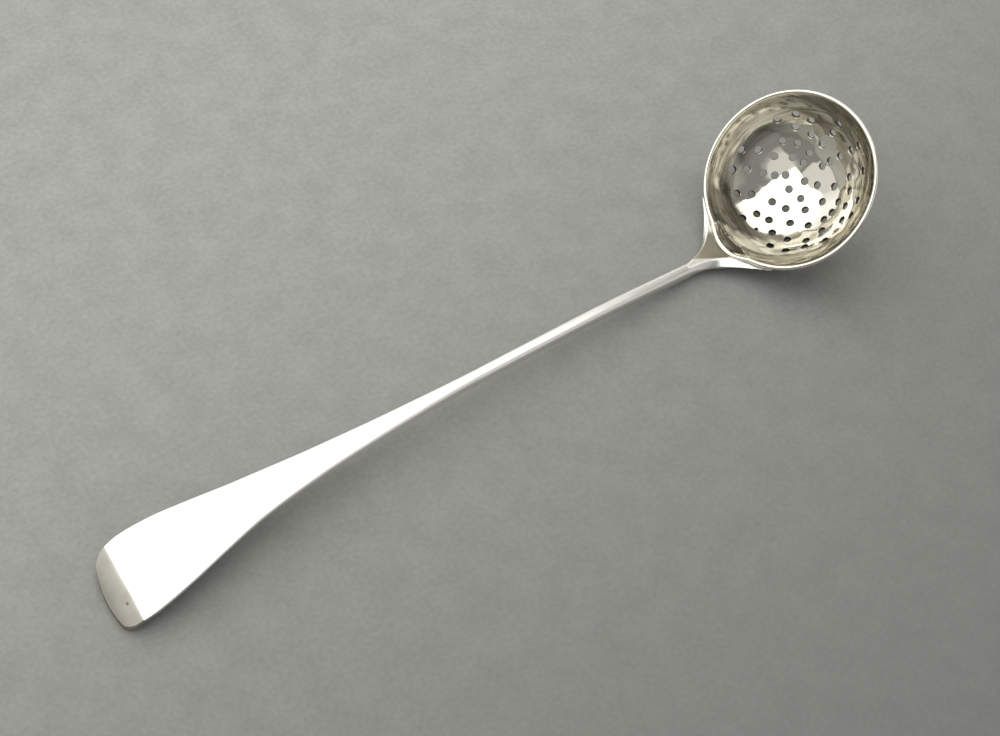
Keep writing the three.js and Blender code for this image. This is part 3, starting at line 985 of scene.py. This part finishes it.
def table_material():
    """Grey paper with faint mottling and a fine tooth, and painted shade that darkens it on the near side of the
    ladle.
    """
    table = sizes("finish").table
    material, tree, shader, place = new_material("grey_paper")
    fine = grain(tree, place, 1100.0)
    cloud = grain(tree, place, 160.0, detail=4.0)
    both = scaled(tree, cloud, 0.45, product(tree, fine, 0.55))
    paper = blend(tree, fade(tree, both, 0.25, 0.75), toned(table, 0.86), toned(table, 1.12))
    # Painted shade: the paper darkens towards the near side, most strongly close to the ladle
    nearer = fade(tree, towards(tree, place, (0.1, -0.99, 0)), -0.09, 0.12)
    away = add_node(tree, "ShaderNodeVectorMath", {0: place}, operation="LENGTH").outputs["Value"]
    shaded = product(tree, nearer, fade(tree, away, 0.7, 0.2, end=0.66))
    bump = add_node(tree, "ShaderNodeBump", {"Strength": 0.25, "Distance": 0.0001, "Height": fine})
    fill(tree, shader, {"Base Color": blend(tree, shaded, paper, toned(table, 0.42)), "Normal": bump.outputs[0]})
    fill(tree, shader, {"Roughness": 0.85, "Specular IOR Level": 0.2})
    return material


# Stage


def aim_camera():
    """The photograph's view: from over the handle's near side, 54 degrees down, turned a little."""
    camera = bpy.data.cameras.new("view")
    camera.sensor_width = 36
    camera.lens = 78.48
    camera.clip_start = 0.01
    down, roll = math.radians(54.18), math.radians(11.8)
    stand = Vector((rim_middle() - 0.22781, -0.15151, 0.3123))
    heading = Vector((0.7311, 0.6823, 0))
    forward = heading * math.cos(down) - Vector((0, 0, math.sin(down)))
    right = Vector((heading.y, -heading.x, 0))
    up = right.cross(forward)
    across = right * math.cos(roll) + up * math.sin(roll)
    above = up * math.cos(roll) - right * math.sin(roll)
    turn = Matrix((across, above, -forward)).transposed()
    view = bpy.data.objects.new("view", camera)
    view.matrix_world = Matrix.Translation(stand) @ turn.to_4x4()
    bpy.context.scene.collection.objects.link(view)
    bpy.context.scene.camera = view


def light_room():
    """A pale wall of light low on the far side, dimmer at its left end, three lighter places, and a dim room that
    is warm past the bowl. The camera sees the table's grey."""
    finish = sizes("finish")
    world = bpy.data.worlds.new("room")
    bpy.context.scene.world = world
    world.use_nodes = True
    tree = world.node_tree
    way = add_node(tree, "ShaderNodeTexCoord").outputs["Generated"]
    x, _, z = add_node(tree, "ShaderNodeSeparateXYZ", {0: way}).outputs
    wall = fade(tree, towards(tree, way, (0.139, 1.0, 0.25)), 0.0, 0.08)
    low = fade(tree, z, 0.56, 0.48)
    left_end = fade(tree, x, -0.72, -0.5, start=0.55)
    bright = product(tree, product(tree, wall, low), left_end)
    for direction, edge, full, strength in LIGHT_PLACES:
        lighter = fade(tree, towards(tree, way, direction), edge, full, end=strength)
        bright = math_node(tree, "MAXIMUM", bright, lighter)
    cool, warm = toned((1.0, 1.0, 1.0), finish.room), toned((1.05, 0.92, 0.66), finish.room)
    dim = blend(tree, fade(tree, towards(tree, way, (0.88, 0.3, 0.37)), 0.5, 0.95), cool, warm)
    back = tree.nodes["Background"]
    fill(tree, back, {"Color": blend(tree, bright, dim, toned((1.0, 1.0, 0.985), finish.lamp))})
    grey = add_node(tree, "ShaderNodeBackground", {"Color": finish.table})
    seen = add_node(tree, "ShaderNodeLightPath").outputs["Is Camera Ray"]
    choose = add_node(tree, "ShaderNodeMixShader", {0: seen, 1: back.outputs[0], 2: grey.outputs[0]})
    fill(tree, tree.nodes["World Output"], {"Surface": choose.outputs[0]})


def hang_panel():
    """The soft panel over the far side of the table, level, its near edge just past the ladle."""
    stage = sizes("stage")
    lamp = bpy.data.lights.new("soft_panel", "AREA")
    lamp.shape = "RECTANGLE"
    lamp.size, lamp.size_y = stage.panel_size
    lamp.energy = stage.panel_power
    holder = bpy.data.objects.new("soft_panel", lamp)
    holder.location = stage.panel_place
    holder.visible_camera = False
    bpy.context.scene.collection.objects.link(holder)


def lay_table():
    bm = bmesh.new()
    bmesh.ops.create_grid(bm, x_segments=2, y_segments=2, size=4)
    table = new_piece("table", bm)
    table.data.materials.append(table_material())


def dress(piece, node, material):
    """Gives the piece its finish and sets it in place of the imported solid."""
    piece.data.materials.clear()
    piece.data.materials.append(material)
    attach(piece, "root")
    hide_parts(node)


class LADLE_OT_stage(bpy.types.Operator):
    """Sets up the table, the soft light and the view"""

    bl_idname = "ladle.stage"
    bl_label = "Table and Light"

    def execute(self, context):
        aim_camera()
        light_room()
        lay_table()
        hang_panel()
        return {"FINISHED"}


class LADLE_OT_bowl(bpy.types.Operator):
    """Raises, bends, hammers and drills the bowl"""

    bl_idname = "ladle.bowl"
    bl_label = "Pierced Bowl"

    def execute(self, context):
        dress(make_bowl(), "pierced_bowl", bowl_material())
        return {"FINISHED"}


class LADLE_OT_shoulder(bpy.types.Operator):
    """Forges the shoulder with its horns and heel"""

    bl_idname = "ladle.shoulder"
    bl_label = "Shoulder and Heel"

    def execute(self, context):
        dress(make_shoulder(), "shoulder_and_heel", shoulder_material())
        return {"FINISHED"}


class LADLE_OT_stem(bpy.types.Operator):
    """Draws out the stem and flattens the blade"""

    bl_idname = "ladle.stem"
    bl_label = "Stem and Blade"

    def execute(self, context):
        dress(make_stem(), "stem_and_blade", stem_material())
        return {"FINISHED"}


class LADLE_OT_solder(bpy.types.Operator):
    """Runs the solder round the heel"""

    bl_idname = "ladle.solder"
    bl_label = "Solder"

    def execute(self, context):
        solder = sizes("finish").solder
        made = silver_material("solder_silver", solder, amount=0.6, smooth=0.25, rough=0.4, patch=900.0, relief=1e-5)
        dress(make_solder(), "solder_bead", made.material)
        return {"FINISHED"}


class LADLE_PT_parts(bpy.types.Panel):
    """Everything that makes the ladle, in the order it is made"""

    bl_label = "Sifter Ladle"
    bl_space_type = "VIEW_3D"
    bl_region_type = "UI"
    bl_category = "Ladle"

    def draw(self, context):
        for group in GROUPS:
            box = self.layout.box()
            values = sizes(group)
            for name in values.bl_rna.properties.keys():
                if name not in ("rna_type", "name"):
                    box.prop(values, name)
        for step in STEPS:
            self.layout.operator(step.bl_idname)


GROUPS = {
    "bowl": BowlSizes,
    "shoulder": ShoulderSizes,
    "handle": HandleSizes,
    "finish": Finish,
    "stage": StageSizes,
}
STEPS = (LADLE_OT_stage, LADLE_OT_bowl, LADLE_OT_shoulder, LADLE_OT_stem, LADLE_OT_solder)


def register():
    for name, group in GROUPS.items():
        bpy.utils.register_class(group)
        setattr(bpy.types.Scene, "ladle_" + name, bpy.props.PointerProperty(type=group))
    for step in STEPS:
        bpy.utils.register_class(step)
    bpy.utils.register_class(LADLE_PT_parts)


def unregister():
    bpy.utils.unregister_class(LADLE_PT_parts)
    for step in reversed(STEPS):
        bpy.utils.unregister_class(step)
    for name, group in GROUPS.items():
        delattr(bpy.types.Scene, "ladle_" + name)
        bpy.utils.unregister_class(group)


def main():
    register()
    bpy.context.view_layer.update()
    bpy.context.scene.view_settings.view_transform = "Standard"
    bpy.ops.ladle.stage()
    bpy.ops.ladle.bowl()
    bpy.ops.ladle.shoulder()
    bpy.ops.ladle.stem()
    bpy.ops.ladle.solder()


if __name__ == "__main__":
    main()
